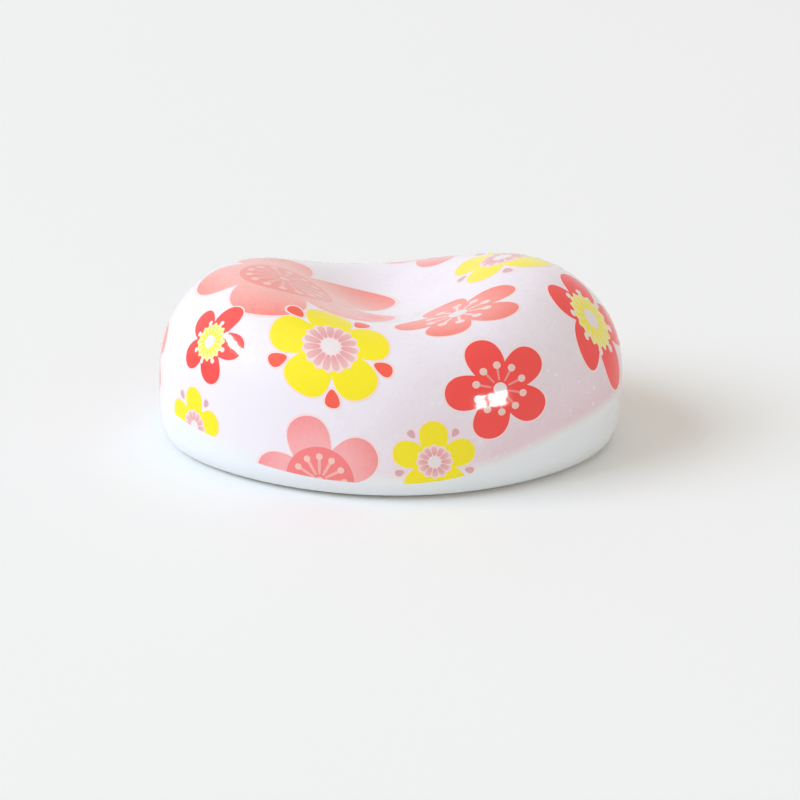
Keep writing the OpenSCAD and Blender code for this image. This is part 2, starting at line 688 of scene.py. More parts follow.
@dataclass(frozen=True)
class Ink(Finish):
    """Fired ink of a blossom, that may be paler towards the blossom's heart."""

    tip: Colour
    heart: Colour
    uneven: float = 0.5

    GRAIN = 0.35 * MM

    def dress(self, graph: Graph, surface: bpy.types.Node) -> None:
        """Ink from heart to tip, printed a little unevenly.

        Args:
            graph: The material's nodes.
            surface: The surface node.
        """
        out = self.marked(graph, Motif.OUT)
        grain = self.noise(graph, self.GRAIN)
        share = graph.clamp(out * out + (grain - self.NOISE_MIDDLE) * self.uneven)
        graph.feed(surface.inputs["Base Color"],
                   graph.mix(share, linear(*self.heart), linear(*self.tip)))
        self.gloss(graph, surface)


class FormGraph(Graph):
    """Geometry tree whose sheets follow the form or lie flat, ending in a finished mesh."""

    CREASE = math.radians(50)

    def __init__(self, name: str) -> None:
        """Starts a tree with a geometry input and output.

        Args:
            name: The tree's name.
        """
        self.settings: Dict[str, Any] = {}
        super().__init__(bpy.data.node_groups.new(name, "GeometryNodeTree"))
        for in_out in ("INPUT", "OUTPUT"):
            self.tree.interface.new_socket("Geometry", in_out=in_out,
                                           socket_type="NodeSocketGeometry")
        self.entry = self.node("NodeGroupInput")

    def size(self, name: str, value: float) -> Value:
        """A named size, which the modifier sets.

        Args:
            name: The input's name.
            value: Its value.

        Returns:
            The input as a value.
        """
        socket = self.tree.interface.new_socket(name, in_out="INPUT",
                                                socket_type="NodeSocketFloat")
        socket.default_value = value
        self.settings[name] = value
        return Value(self, self.entry.outputs[name])

    def opened(self, sizes: Any) -> Any:
        """Makes each number of a set of sizes a named input of the tree.

        Args:
            sizes: A dataclass that holds sizes, and may hold a form.

        Returns:
            A copy whose numbers are those inputs.
        """
        inputs = {}
        for one in fields(sizes):
            held = getattr(sizes, one.name)
            if isinstance(held, float):
                inputs[one.name] = self.size(one.name.replace("_", " ").capitalize(), held)
            elif isinstance(held, Form):
                inputs[one.name] = self.opened(held)
        return replace(sizes, **inputs)

    def position(self) -> Socket:
        """Where each point lies."""
        return self.node("GeometryNodeInputPosition").outputs[0]

    def bearing_and_height(self) -> Tuple[Value, Value]:
        """Each point's angle round the rest, and its height above the table."""
        x, y, height = self.split(self.position())
        return self.maths("ARCTAN2", y, x), height

    def real(self, mesh: Socket) -> Socket:
        """The mesh with its copies made real."""
        return self.node("GeometryNodeRealizeInstances", inputs={"Geometry": mesh}).outputs[0]

    def welded(self, mesh: Socket, weld: Number) -> Socket:
        """The mesh with points made one that lie closer than the weld."""
        return self.node("GeometryNodeMergeByDistance", inputs={
            "Geometry": mesh, "Distance": weld}).outputs[0]

    def sheet(self, spokes: int, rows: int, place: Place, weld: Number) -> Socket:
        """Sheet that closes on itself round its spokes.

        Args:
            spokes: Faces round it.
            rows: Faces from its first edge to its last.
            place: Gives the point at a share of the turn and a share of the rows.
            weld: Distance below which points are one.

        Returns:
            The sheet, whose faces look outwards where the turn runs anticlockwise.
        """
        grid = self.node("GeometryNodeMeshGrid", inputs={
            "Size X": 1.0, "Size Y": 1.0, "Vertices X": spokes + 1, "Vertices Y": rows + 1})
        across, up, _ = self.split(self.position())
        bent = self.node("GeometryNodeSetPosition", inputs={
            "Geometry": grid.outputs["Mesh"],
            "Position": self.joined(place(across + 0.5, up + 0.5))})
        return self.welded(bent.outputs[0], weld)

    def flipped(self, mesh: Socket) -> Socket:
        """The mesh with its faces turned round."""
        return self.node("GeometryNodeFlipFaces", inputs={"Mesh": mesh}).outputs[0]

    def together(self, meshes: List[Socket], weld: Optional[Number] = None) -> Socket:
        """Joins meshes.

        Args:
            meshes: The meshes.
            weld: Distance below which points become one, or nothing to leave them.

        Returns:
            One mesh.
        """
        one = self.node("GeometryNodeJoinGeometry", inputs={
            "Geometry": list(reversed(meshes))}).outputs[0]
        return one if weld is None else self.welded(one, weld)

    def creased(self, mesh: Socket) -> Socket:
        """Shades a mesh smooth, but for its sharp edges.

        Args:
            mesh: The mesh.

        Returns:
            The mesh.
        """
        smooth = self.node("GeometryNodeSetShadeSmooth", {"domain": "FACE"}, {
            "Geometry": mesh, "Shade Smooth": True}).outputs[0]
        turn = Value(self, self.node("GeometryNodeInputMeshEdgeAngle").outputs[0])
        return self.node("GeometryNodeSetShadeSmooth", {"domain": "EDGE"}, {
            "Geometry": smooth, "Selection": turn > self.CREASE, "Shade Smooth": False}).outputs[0]

    def kept(self, mesh: Socket, name: str, value: Any, kind: str = "FLOAT",
             domain: str = "POINT") -> Socket:
        """Stores a value on a mesh.

        Args:
            mesh: The mesh.
            name: The value's name.
            value: The value, which may differ from point to point.
            kind: Its data type.
            domain: What it is stored on.

        Returns:
            The mesh.
        """
        return self.node("GeometryNodeStoreNamedAttribute",
                         {"data_type": kind, "domain": domain},
                         {"Geometry": mesh, "Name": name, "Value": value}).outputs[0]

    def stored(self, name: str, kind: str = "FLOAT") -> Socket:
        """Reads a stored value."""
        return self.node("GeometryNodeInputNamedAttribute", {"data_type": kind},
                         {"Name": name}).outputs["Attribute"]

    def sampled(self, skin: Socket, value: Socket, place: Socket) -> Socket:
        """Reads a vector of a skin at its nearest point to a place."""
        return self.node("GeometryNodeSampleNearestSurface", {"data_type": "FLOAT_VECTOR"}, {
            "Mesh": skin, "Value": value, "Sample Position": place}).outputs["Value"]

    def facing(self, mesh: Socket, out: Socket, side: Value) -> Socket:
        """The mesh with normals of its own, as if it lay on a smooth skin.

        Args:
            mesh: The mesh.
            out: The skin's normal.
            side: 1 on faces that look out, -1 on those that look in, and 0 on rims.

        Returns:
            The mesh.
        """
        face = self.node("GeometryNodeInputNormal").outputs["True Normal"]
        rim = 1 - side * side
        normal = self.vector("ADD", self.vector("SCALE", out, side),
                             self.vector("SCALE", face, rim))
        return self.node("GeometryNodeSetMeshNormal", {"mode": "FREE", "domain": "CORNER"}, {
            "Mesh": mesh, "Custom Normal": normal}).outputs[0]

    def inked(self, mesh: Socket, finish: Finish) -> Socket:
        """Gives a mesh a finish."""
        return self.node("GeometryNodeSetMaterial", inputs={
            "Geometry": mesh, "Material": finish.material()}).outputs[0]

    def ends(self, mesh: Socket) -> None:
        """Ends the tree with a mesh."""
        leave = self.node("NodeGroupOutput")
        self.feed(leave.inputs[0], mesh)

    def run(self, name: str, start: Optional[bpy.types.Mesh] = None) -> bpy.types.Object:
        """Evaluates the tree once and keeps its result as a plain mesh.

        Args:
            name: The piece's name.
            start: The mesh that goes into the tree, if it needs one.

        Returns:
            The piece's object, with no modifier left on it.
        """
        carrier = bpy.data.objects.new(name + "_start", start or bpy.data.meshes.new(name))
        bpy.context.scene.collection.objects.link(carrier)
        modifier = carrier.modifiers.new("form", "NODES")
        modifier.node_group = self.tree
        for item in self.tree.interface.items_tree:
            if item.item_type == "SOCKET" and item.name in self.settings:
                modifier[item.identifier] = self.settings[item.name]
        view = bpy.context.evaluated_depsgraph_get()
        mesh = bpy.data.meshes.new_from_object(carrier.evaluated_get(view), depsgraph=view)
        bpy.data.objects.remove(carrier)
        mesh.name = name
        if mesh.materials and mesh.materials[0] is None:
            mesh.materials.pop(index=0)
        piece = bpy.data.objects.new(name, mesh)
        bpy.context.scene.collection.objects.link(piece)
        log.info("%s: %d faces", name, len(mesh.polygons))
        return piece


@dataclass
class Layers:
    """The three layers of the rest, each a closed shell built from the same form.

    The band's rows start at a share of their even height, and widen upwards.
    """

    form: Form
    spokes: int = 288
    crown_rows: int = 90
    wall_rows: int = 24
    band_rows: int = 16
    foot_rows: int = 14
    hollow_rows: int = 40
    ring_rows: int = 4
    fade_h: Number = 1.1 * MM
    blush_h: Number = 1.6 * MM
    blush_rise: Number = 0.5 * MM
    roll_h: Number = 0.25 * MM
    band_start: Number = 0.3
    weld: Number = 5e-8

    FADE = "print_fade"
    SIDE = "side"
    SKIN_NORMAL = "skin_normal"

    def crown(self, graph: FormGraph, depth: Rule) -> Socket:
        """Sheet from the belly to the top.

        Args:
            graph: The tree to build in.
            depth: Rule that gives the depth at a bearing and a height.

        Returns:
            The sheet.
        """
        def place(turn: Value, share: Value) -> Point:
            """Point of the sheet.

            Args:
                turn: The share of the turn.
                share: The share of the way up.

            Returns:
                The point.
            """
            bearing = turn * TURN
            _, _, height = self.form.crown(bearing, share, 0.0)
            return self.form.crown(bearing, share, depth(bearing, height))
        return graph.sheet(self.spokes, self.crown_rows, place, self.weld)

    def flank(self, graph: FormGraph, rows: int, heights: Rule, depth: Rule) -> Socket:
        """Sheet of the flank under the belly.

        Args:
            graph: The tree to build in.
            rows: Faces from its lower edge to its upper one.
            heights: Rule that gives the height at a bearing and a share of the way up.
            depth: Rule that gives the depth at a bearing and a height.

        Returns:
            The sheet.
        """
        def place(turn: Value, share: Value) -> Point:
            """Point of the sheet.

            Args:
                turn: The share of the turn.
                share: The share of the way up.

            Returns:
                The point.
            """
            bearing = turn * TURN
            height = heights(bearing, share)
            return self.form.wall(bearing, height, depth(bearing, height))
        return graph.sheet(self.spokes, rows, place, self.weld)

    def wall(self, graph: FormGraph, depth: Rule) -> Socket:
        """Sheet from the print's edge to the belly.

        Args:
            graph: The tree to build in.
            depth: Rule that gives the depth at a bearing and a height.

        Returns:
            The sheet.
        """
        def heights(bearing: Value, share: Value) -> Number:
            """Height at a share of the way up."""
            edge = self.form.print_edge(bearing)
            return edge + (self.form.belly_h - edge) * share
        return self.flank(graph, self.wall_rows, heights, depth)

    def band(self, graph: FormGraph, depth: Rule) -> Socket:
        """Sheet from the glaze line to the print's edge, with its rows closer low down.

        Args:
            graph: The tree to build in.
            depth: Rule that gives the depth at a bearing and a height.

        Returns:
            The sheet.
        """
        def heights(bearing: Value, share: Value) -> Number:
            """Height at a share of the way up."""
            line, climb = self.form.glaze_line_h, self.band_start + (1 - self.band_start) * share
            return line + (self.form.print_edge(bearing) - line) * share * climb
        return self.flank(graph, self.band_rows, heights, depth)

    def skin(self, graph: FormGraph, depth: Rule) -> List[Socket]:
        """Sheets that together run from the glaze line to the top."""
        return [self.crown(graph, depth), self.wall(graph, depth), self.band(graph, depth)]

    def evenly(self, depth: Number) -> Rule:
        """Rule for a layer at one depth."""
        return lambda bearing, height: depth

    def print_share(self, bearing: Value, height: Value) -> Value:
        """How far the print is from its lower edge."""
        left = 1 - bearing.graph.clamp((height - self.form.print_edge(bearing)) / self.fade_h)
        return 1 - left * left

    def blush(self, bearing: Value, height: Value) -> Value:
        """How far the pink has come, which comes slower at the ends.

        Args:
            bearing: The angle round the rest.
            height: The height above the table.

        Returns:
            From 0 at the print's edge to 1 where the pink is full.
        """
        along = cosine(bearing)
        reach = self.blush_h + self.blush_rise * along * along
        return bearing.graph.clamp((height - self.form.print_edge(bearing)) / reach)

    def faded(self, bearing: Value, height: Value) -> Number:
        """Depth of the print's surface, which thins out to nothing at its edge.

        Args:
            bearing: The angle round the rest.
            height: The height above the table.

        Returns:
            The depth.
        """
        form = self.form
        return form.glaze_depth + (form.print_depth - form.glaze_depth) * self.print_share(
            bearing, height)

    def rolled(self, bearing: Value, height: Value) -> Number:
        """Depth of the glaze's surface, which rolls in to the clay at its lower edge.

        Args:
            bearing: The angle round the rest.
            height: The height above the table.

        Returns:
            The depth.
        """
        form = self.form
        low = 1 - bearing.graph.clamp((height - form.glaze_line_h) / self.roll_h)
        roll = 1 - (1 - low * low) ** 0.5
        return form.glaze_depth + (form.clay_depth - form.glaze_depth) * roll

    def even_normal(self, graph: FormGraph) -> Socket:
        """Normal of the form, read from an even skin over all of it.

        Args:
            graph: The tree to build in.

        Returns:
            The normal at the skin's nearest point.
        """
        skin = graph.together(self.skin(graph, self.evenly(self.form.print_depth)), self.weld)
        normal = graph.node("GeometryNodeInputNormal").outputs["Normal"]
        return graph.sampled(skin, normal, graph.position())

    def closed(self, graph: FormGraph, sheets: List[Socket], finish: Finish) -> None:
        """Ends a tree with the shell of its sheets, smooth but for its sharp edges."""
        shell = graph.creased(graph.together(sheets, self.weld))
        graph.ends(graph.inked(graph.real(shell), finish))

    def body(self, finish: Finish) -> bpy.types.Object:
        """Clay body, with its foot ring and its hollow underside.

        Args:
            finish: The finish of bare clay.

        Returns:
            The piece.
        """
        graph = FormGraph("clay_form")
        own = graph.opened(self)
        form = own.form

        def bare(turn: Value, share: Value) -> Point:
            """Point of the bare clay between the table and the glaze line."""
            level = form.glaze_line_level() * share - (1 - share)
            return form.foot(turn * TURN, level, form.clay_depth)

        def ring(turn: Value, share: Value) -> Point:
            """Point of the flat ring that the rest stands on.

            Args:
                turn: The share of the turn.
                share: The share of the way out.

            Returns:
                The point.
            """
            margin = form.clay_depth + form.foot_inset
            reach = form.outline(turn * TURN, margin + form.foot_ring_w * (1 - share))
            return reach * cosine(turn * TURN), reach * sine(turn * TURN), 0.0

        def hollow(turn: Value, share: Value) -> Point:
            """Point of the hollow underside."""
            return form.hollow(turn * TURN, share)

        sheets = own.skin(graph, own.evenly(form.clay_depth))
        for rows, place in ((own.foot_rows, bare), (own.ring_rows, ring)):
            sheets.append(graph.sheet(own.spokes, rows, place, own.weld))
        roof = graph.sheet(own.spokes, own.hollow_rows, hollow, own.weld)
        own.closed(graph, sheets + [graph.flipped(roof)], finish)
        return graph.run("clay_body")

    def glaze(self, finish: Finish) -> bpy.types.Object:
        """Glaze shell over the clay, whose lower edge is rolled.

        Args:
            finish: The finish of the glaze.

        Returns:
            The piece.
        """
        graph = FormGraph("glaze_form")
        own = graph.opened(self)
        outside = own.skin(graph, own.rolled)
        inside = own.skin(graph, own.evenly(own.form.clay_depth))
        own.closed(graph, outside + [graph.flipped(sheet) for sheet in inside], finish)
        return graph.run("glaze_shell")

    def ground(self, finish: Finish) -> bpy.types.Object:
        """Pink ground of the print, a shell that thins out at its lower edge.

        Args:
            finish: The finish of the printed ground.

        Returns:
            The piece.
        """
        graph = FormGraph("ground_form")
        own = graph.opened(self)
        inner = own.evenly(own.form.glaze_depth)
        outside = [own.crown(graph, own.faded), own.wall(graph, own.faded)]
        inside = [graph.flipped(own.crown(graph, inner)), graph.flipped(own.wall(graph, inner))]
        sheets = [graph.kept(sheet, self.SIDE, 1.0, domain="FACE") for sheet in outside]
        sheets += [graph.kept(sheet, self.SIDE, -1.0, domain="FACE") for sheet in inside]
        shell = graph.creased(graph.together(sheets, own.weld))
        shell = graph.kept(shell, self.FADE, own.blush(*graph.bearing_and_height()))
        shell = graph.facing(shell, own.even_normal(graph), Value(graph, graph.stored(self.SIDE)))
        graph.ends(graph.inked(graph.real(shell), finish))
        piece = graph.run("printed_ground")
        piece.data.attributes.remove(piece.data.attributes[self.SIDE])
        return piece

    def former(self) -> bpy.types.Object:
        """Skin that the blossoms are laid on: the ground's surface and the glaze under it.

        Its form stays in plain numbers, because the blossoms' walk over it magnifies the
        rounding that inputs bring.

        Returns:
            An open mesh, which is taken away again once they are laid.
        """
        graph = FormGraph("skin_form")
        own = replace(self, fade_h=graph.size("Fade h", self.fade_h),
                      weld=graph.size("Weld", self.weld))
        skin = graph.together(own.skin(graph, own.faded), own.weld)
        graph.ends(graph.kept(skin, self.SKIN_NORMAL, own.even_normal(graph), "FLOAT_VECTOR"))
        return graph.run("skin_former")


class Tier(Enum):
    """Order in which the inks lie on the ground, counted in steps up."""

    HALO = 0
    PETAL = 1
    EYE = 2
    STAMEN = 3
    TOP = 4


class Style(Enum):
    """How a blossom's stamens are drawn."""

    BARS = "bars"
    FILAMENTS = "filaments"
    CLUBS = "clubs"
    RAYS = "rays"


@dataclass(frozen=True)
class Palette:
    """Inks of one kind of blossom."""

    petal: Ink
    halo: Ink
    eye: Ink
    stamen: Ink
    heart: Ink
    sepal: Ink


@dataclass
class Placing:
    """Where one blossom lies on the rest.

    Directions are in degrees, anticlockwise from uphill; the spin is that of the first
    petal. The stretch is how much longer the blossom was pulled along one direction when
    its transfer was laid, and off is the share of its radius by which its heart was pulled
    away from its middle in another. The cut is how far above the print's edge the blossom
    ends, where the edge runs through it.
    """

    bearing: float
    level: float
    radius: float
    spin: float
    stretch: float = 0.0
    along: float = 0.0
    off: float = 0.0
    off_to: float = 0.0
    cut: float = 0.0


@dataclass
class Motif:
    """A kind of plum blossom, drawn flat with a radius of 1 and then laid on the form.

    Its sizes are shares of the blossom's radius, but for the lifts, the sink, the slabs' weld
    and the cut's fade, which are lengths. A slab sinks into the skin by the sink and a share
    of its lift. A sepal's widths are shares of its length, and ray_tip_at is one of the eye.
    """

    name: str
    palette: Palette
    style: Style
    notch: Number = 0.52
    bulge: Number = 0.13
    halo: Number = 0.035
    eye: Number = 0.0
    teeth: int = 0
    tooth: Number = 0.0
    stamens: int = 10
    stamen_in: Number = 0.16
    stamen_out: Number = 0.5
    stamen_w: Number = 0.03
    anther: Number = 0.075
    heart: Number = 0.15
    phase: Number = 0.0
    sepal: Number = 0.0
    sepal_at: Number = 0.93
    over: Number = 0.0
    petals: int = 5
    petal_spokes: int = 36
    petal_rows: int = 14
    eye_rows: int = 7

    OUT = "out"
    LIFT = "lift"
    SPIN = "spin"
    sepal_w: Number = 0.72
    sepal_halo_w: Number = 0.77
    sepal_power: Number = 2.1
    sepal_taper: Number = -0.4
    ray_tip_at: Number = 1.12
    halo_rows: int = 2
    eye_spokes: int = 72
    tooth_spokes: int = 8
    weld: Number = 2e-4
    slab_weld: Number = 1e-4 * MM
    sink: Number = 2e-3 * MM
    sink_share: Number = 0.2
    cut_fade: Number = 1 * MM
    lift_step: Number = 6e-3 * MM
    first_lift: Number = 12e-3 * MM
    walk_steps: int = 12

    ALL_BELOW = 0.999
    HALF_BELOW = 0.5
    ON_TOP = 0.001
    UPHILL_STEP = 0.004

    def petal_edge(self, turn: Value) -> Tuple[Value, Value]:
        """Point of the petals' outline.

        Args:
            turn: The share of the turn, clockwise.

        Returns:
            The point's two numbers.
        """
        graph = turn.graph
        count = turn * float(self.petals)
        petal = graph.maths("FLOOR", count + 0.5)
        across = (count - petal) * 2
        half = math.pi / self.petals
        notch_x = self.notch * math.cos(half)
        notch_y = self.notch * math.sin(half)
        out = notch_x + (1 - notch_x) * cosine(across * QUARTER_TURN)
        side = notch_y * sine(across * QUARTER_TURN) + self.bulge * sine(across * math.pi)
        angle = petal * (TURN / self.petals)
        return (side * cosine(angle) + out * sine(angle),
                out * cosine(angle) - side * sine(angle))

    def part(self, graph: FormGraph, sheet: Socket, tier: Tier, ink: Ink,
             out: Optional[float] = None) -> Socket:
        """Marks a flat part.

        Args:
            graph: The tree to build in.
            sheet: The part.
            tier: Where it lies in the order of the inks.
            ink: Its ink.
            out: Its share from heart to tip, or nothing where it carries that already.

        Returns:
            The part with its lift, its ink and its share.
        """
        lift = self.first_lift + self.over + tier.value * self.lift_step
        marked = graph.kept(sheet, self.LIFT, lift)
        if out is not None:
            marked = graph.kept(marked, self.OUT, out)
        return graph.inked(marked, ink)

    def petal_sheet(self, graph: FormGraph) -> List[Socket]:
        """The petals, merged at their feet, and the pale halo round them.

        Args:
            graph: The tree to build in.

        Returns:
            The flat parts.
        """
        def petals(turn: Value, share: Value) -> Point:
            """Point of the petals."""
            x, y = self.petal_edge(turn)
            return x * share, y * share, 0.0

        def rim(turn: Value, share: Value) -> Point:
            """Point of the halo.

            Args:
                turn: The share of the turn.
                share: The share of the way from inside the petals' edge to outside it.

            Returns:
                The point.
            """
            x, y = self.petal_edge(turn)
            far = (x * x + y * y) ** 0.5
            grown = 1 + (share * 2 - 1) * self.halo / far
            return x * grown, y * grown, 0.0

        turns = self.petals * self.petal_spokes
        x, y, _ = graph.split(graph.position())
        flat = graph.sheet(turns, self.petal_rows, petals, self.weld)
        flat = graph.kept(flat, self.OUT, (x * x + y * y) ** 0.5)
        ring = graph.sheet(turns, self.halo_rows, rim, self.weld)
        return [self.part(graph, ring, Tier.HALO, self.palette.halo, out=1.0),
                self.part(graph, flat, Tier.PETAL, self.palette.petal)]

    def dab(self, graph: FormGraph, half_w: Number, half_l: Number, power: Number = 2.0,
            taper: Number = 0.0, spokes: int = 16, rows: int = 2,
            centre: Number = 0.0) -> Socket:
        """Rounded spot of ink, from round to nearly square, that may taper outwards.

        Args:
            graph: The tree to build in.
            half_w: Half its width.
            half_l: Half its length, along Y.
            power: Its squareness, where 2 is an ellipse.
            taper: Share by which its outer end is narrower than its middle.
            spokes: Points round it.
            rows: Rows of faces from its middle to its edge.
            centre: How far out its middle lies.

        Returns:
            The flat spot.
        """
        def place(turn: Value, share: Value) -> Point:
            """Point of the spot.

            Args:
                turn: The share of the turn.
                share: The share of the way from its middle to its edge.

            Returns:
                The point.
            """
            angle = turn * -TURN
            wide, long = cosine(angle), sine(angle)
            square = (graph.maths("ABSOLUTE", wide) ** power
                      + graph.maths("ABSOLUTE", long) ** power) ** (-1 / power)
            x, y = wide * square * share, long * square * share
            return x * half_w * (1 - taper * y), y * half_l + centre, 0.0
        return graph.sheet(spokes, rows, place, self.weld)

    def round_about(self, graph: FormGraph, spot: Socket, count: int,
                    phase: Number = 0.0) -> Socket:
        """Copies of a spot at even angles round the heart.

        Args:
            graph: The tree to build in.
            spot: The flat spot.
            count: How many copies.
            phase: Share of a step by which they are turned.

        Returns:
            The copies as one flat part.
        """
        index = Value(graph, graph.node("GeometryNodeInputIndex").outputs[0])
        points = graph.node("GeometryNodePoints", inputs={"Count": count})
        turned = graph.joined((0.0, 0.0, (index + phase) * (TURN / count)))
        copies = graph.node("GeometryNodeInstanceOnPoints", inputs={
            "Points": points.outputs[0], "Instance": spot, "Rotation": turned})
        return graph.real(copies.outputs[0])

    def eye_sheet(self, graph: FormGraph) -> List[Socket]:
        """The disc in the middle of the petals, plain or toothed.

        Args:
            graph: The tree to build in.

        Returns:
            The disc.
        """
        def place(turn: Value, share: Value) -> Point:
            """Point of the disc.

            Args:
                turn: The share of the turn.
                share: The share of the way from its middle to its edge.

            Returns:
                The point.
            """
            angle = turn * -TURN
            edge = self.eye * (1 + self.tooth * cosine(angle * float(self.teeth)))
            return cosine(angle) * edge * share, sine(angle) * edge * share, 0.0

        spokes = max(self.eye_spokes, self.teeth * self.tooth_spokes)
        return [self.part(graph, graph.sheet(spokes, self.eye_rows, place, self.weld), Tier.EYE,
                          self.palette.eye, out=0.5)]

    def stamen_sheets(self, graph: FormGraph) -> List[Socket]:
        """Stamens of the blossom's style, with their anthers.

        Args:
            graph: The tree to build in.

        Returns:
            The flat parts.
        """
        half_l = (self.stamen_out - self.stamen_in) / 2
        middle = (self.stamen_out + self.stamen_in) / 2
        ink = self.palette.stamen
        if self.style is Style.BARS:
            bar = self.dab(graph, self.stamen_w, half_l, power=3.0, taper=-0.25, rows=4,
                           centre=middle)
            _, far, _ = graph.split(graph.position())
            bar = graph.kept(bar, self.OUT, far / self.stamen_out)
            return [self.part(graph, self.round_about(graph, bar, self.stamens), Tier.STAMEN,
                              ink)]
        if self.style is Style.RAYS:
            ray = self.dab(graph, self.stamen_w, half_l, taper=0.5, spokes=12, centre=middle)
            tip = self.dab(graph, self.anther, self.anther, centre=self.eye * self.ray_tip_at,
                           spokes=10)
            return [
                self.part(graph, self.round_about(graph, ray, self.stamens), Tier.STAMEN,
                          ink, out=0.0),
                self.part(graph, self.round_about(graph, tip, self.stamens // 2, phase=0.5),
                          Tier.TOP, self.palette.heart, out=1.0)]
        thread = self.dab(graph, self.stamen_w, half_l, power=6.0, taper=-0.15, centre=middle)
        tip = self.dab(graph, self.anther, self.anther, centre=self.stamen_out, spokes=14)
        return [
            self.part(graph, self.round_about(graph, thread, self.stamens, self.phase),
                      Tier.STAMEN, ink, out=0.0),
            self.part(graph, self.round_about(graph, tip, self.stamens, self.phase), Tier.TOP,
                      ink, out=1.0)]

    def heart_sheet(self, graph: FormGraph) -> List[Socket]:
        """The pale heart."""
        heart = self.dab(graph, self.heart, self.heart, spokes=28, rows=3)
        return [self.part(graph, heart, Tier.TOP, self.palette.heart, out=1.0)]

    def sepal_sheets(self, graph: FormGraph) -> List[Socket]:
        """The sepals between the petals, each on a pale halo.

        Args:
            graph: The tree to build in.

        Returns:
            The flat parts.
        """
        rim, made = self.sepal + self.halo, []
        for half_w, half_l, tier, ink in (
                (self.sepal * self.sepal_w, self.sepal, Tier.PETAL, self.palette.sepal),
                (rim * self.sepal_halo_w, rim, Tier.HALO, self.palette.halo)):
            leaf = self.dab(graph, half_w, half_l, self.sepal_power, self.sepal_taper,
                            spokes=20, rows=3, centre=self.sepal_at)
            leaf = self.round_about(graph, leaf, self.petals, phase=0.5)
            made.insert(0, self.part(graph, leaf, tier, ink, out=1.0))
        return made

    def points(self, form: Form, placings: List[Placing]) -> bpy.types.Mesh:
        """The placings as points that carry each blossom's own values.

        Args:
            form: The form that the blossoms lie on.
            placings: Where they lie.

        Returns:
            A mesh of points.
        """
        mesh = bpy.data.meshes.new(self.name + "_points")
        spots, uphill = [], []
        for placing in placings:
            bearing = math.radians(placing.bearing)
            spot = form.point(bearing, placing.level)
            spots.append(spot)
            higher = form.point(bearing, placing.level + self.UPHILL_STEP)
            uphill.append((higher - spot).normalized())
        mesh.from_pydata(spots, [], [])
        for name, values in (("centre", spots), ("uphill", uphill)):
            stored = mesh.attributes.new(name, "FLOAT_VECTOR", "POINT")
            for item, value in zip(stored.data, values):
                item.vector = value
        for name, values in (
                ("radius", [p.radius for p in placings]),
                (self.SPIN, [math.radians(p.spin) for p in placings]),
                ("stretch", [p.stretch for p in placings]),
                ("along", [math.radians(p.along) for p in placings]),
                ("cut", [p.cut for p in placings]),
                ("off_right", [-p.off * math.sin(math.radians(p.off_to)) for p in placings]),
                ("off_up", [p.off * math.cos(math.radians(p.off_to)) for p in placings])):
            stored = mesh.attributes.new(name, "FLOAT", "POINT")
            for item, value in zip(stored.data, values):
                item.value = value
        return mesh

    def walked(self, graph: FormGraph, flat: Socket, skin: Socket) -> Socket:
        """Lays the flat motif on the skin: each point walks out from the blossom's centre.

        Args:
            graph: The tree to build in.
            flat: The motif at each blossom's centre, at its real size.
            skin: The mesh that it is laid on.

        Returns:
            The laid sheets.
        """
        position = graph.position()
        normal = graph.stored(Layers.SKIN_NORMAL, "FLOAT_VECTOR")
        centre = graph.stored("centre", "FLOAT_VECTOR")
        spin, along = graph.stored(self.SPIN), Value(graph, graph.stored("along"))
        stretch = Value(graph, graph.stored("stretch"))

        def turned(vector: Socket, angle: Any) -> Socket:
            """Turns a vector about Z."""
            return graph.node("ShaderNodeVectorRotate", {"rotation_type": "Z_AXIS"}, {
                "Vector": vector, "Angle": angle}).outputs[0]

        flat_way = graph.vector("SUBTRACT", position, centre)
        radius = Value(graph, graph.stored("radius"))
        far = Value(graph, graph.vector("LENGTH", flat_way)) / radius
        pull = (1 - graph.clamp(far * far)) * radius
        way = turned(turned(flat_way, spin), -along)
        way = graph.vector("MULTIPLY", way, graph.joined((1 + stretch, 1 - stretch, 1.0)))
        right, up, _ = graph.split(turned(way, along))
        right = right + Value(graph, graph.stored("off_right")) * pull
        up = up + Value(graph, graph.stored("off_up")) * pull
        out = graph.sampled(skin, normal, centre)
        uphill = graph.stored("uphill", "FLOAT_VECTOR")
        steep = graph.vector("DOT_PRODUCT", uphill, out)
        level = graph.vector("NORMALIZE", graph.vector(
            "SUBTRACT", uphill, graph.vector("SCALE", out, steep)))
        side = graph.vector("CROSS_PRODUCT", level, out)
        heading = graph.vector("ADD", graph.vector("SCALE", side, right),
                               graph.vector("SCALE", level, up))
        stride = Value(graph, graph.vector("LENGTH", heading)) / float(self.walk_steps)
        flat = graph.kept(flat, "stride", stride)
        flat = graph.kept(flat, "heading", graph.vector("NORMALIZE", heading), "FLOAT_VECTOR")
        flat = graph.node("GeometryNodeSetPosition", inputs={
            "Geometry": flat, "Position": centre}).outputs[0]

        start = graph.node("GeometryNodeRepeatInput", inputs={"Iterations": self.walk_steps})
        finish = graph.node("GeometryNodeRepeatOutput")
        start.pair_with_output(finish)
        graph.feed(start.inputs["Geometry"], flat)
        heading = graph.stored("heading", "FLOAT_VECTOR")
        ahead = graph.vector("ADD", position, graph.vector(
            "SCALE", heading, graph.stored("stride")))
        moved = graph.node("GeometryNodeSetPosition", inputs={
            "Geometry": start.outputs["Geometry"],
            "Position": graph.sampled(skin, position, ahead)}).outputs[0]
        out = graph.sampled(skin, normal, position)
        steep = graph.vector("DOT_PRODUCT", heading, out)
        bent = graph.vector("NORMALIZE", graph.vector(
            "SUBTRACT", heading, graph.vector("SCALE", out, steep)))
        graph.feed(finish.inputs["Geometry"],
                   graph.kept(moved, "heading", bent, "FLOAT_VECTOR"))
        return finish.outputs["Geometry"]

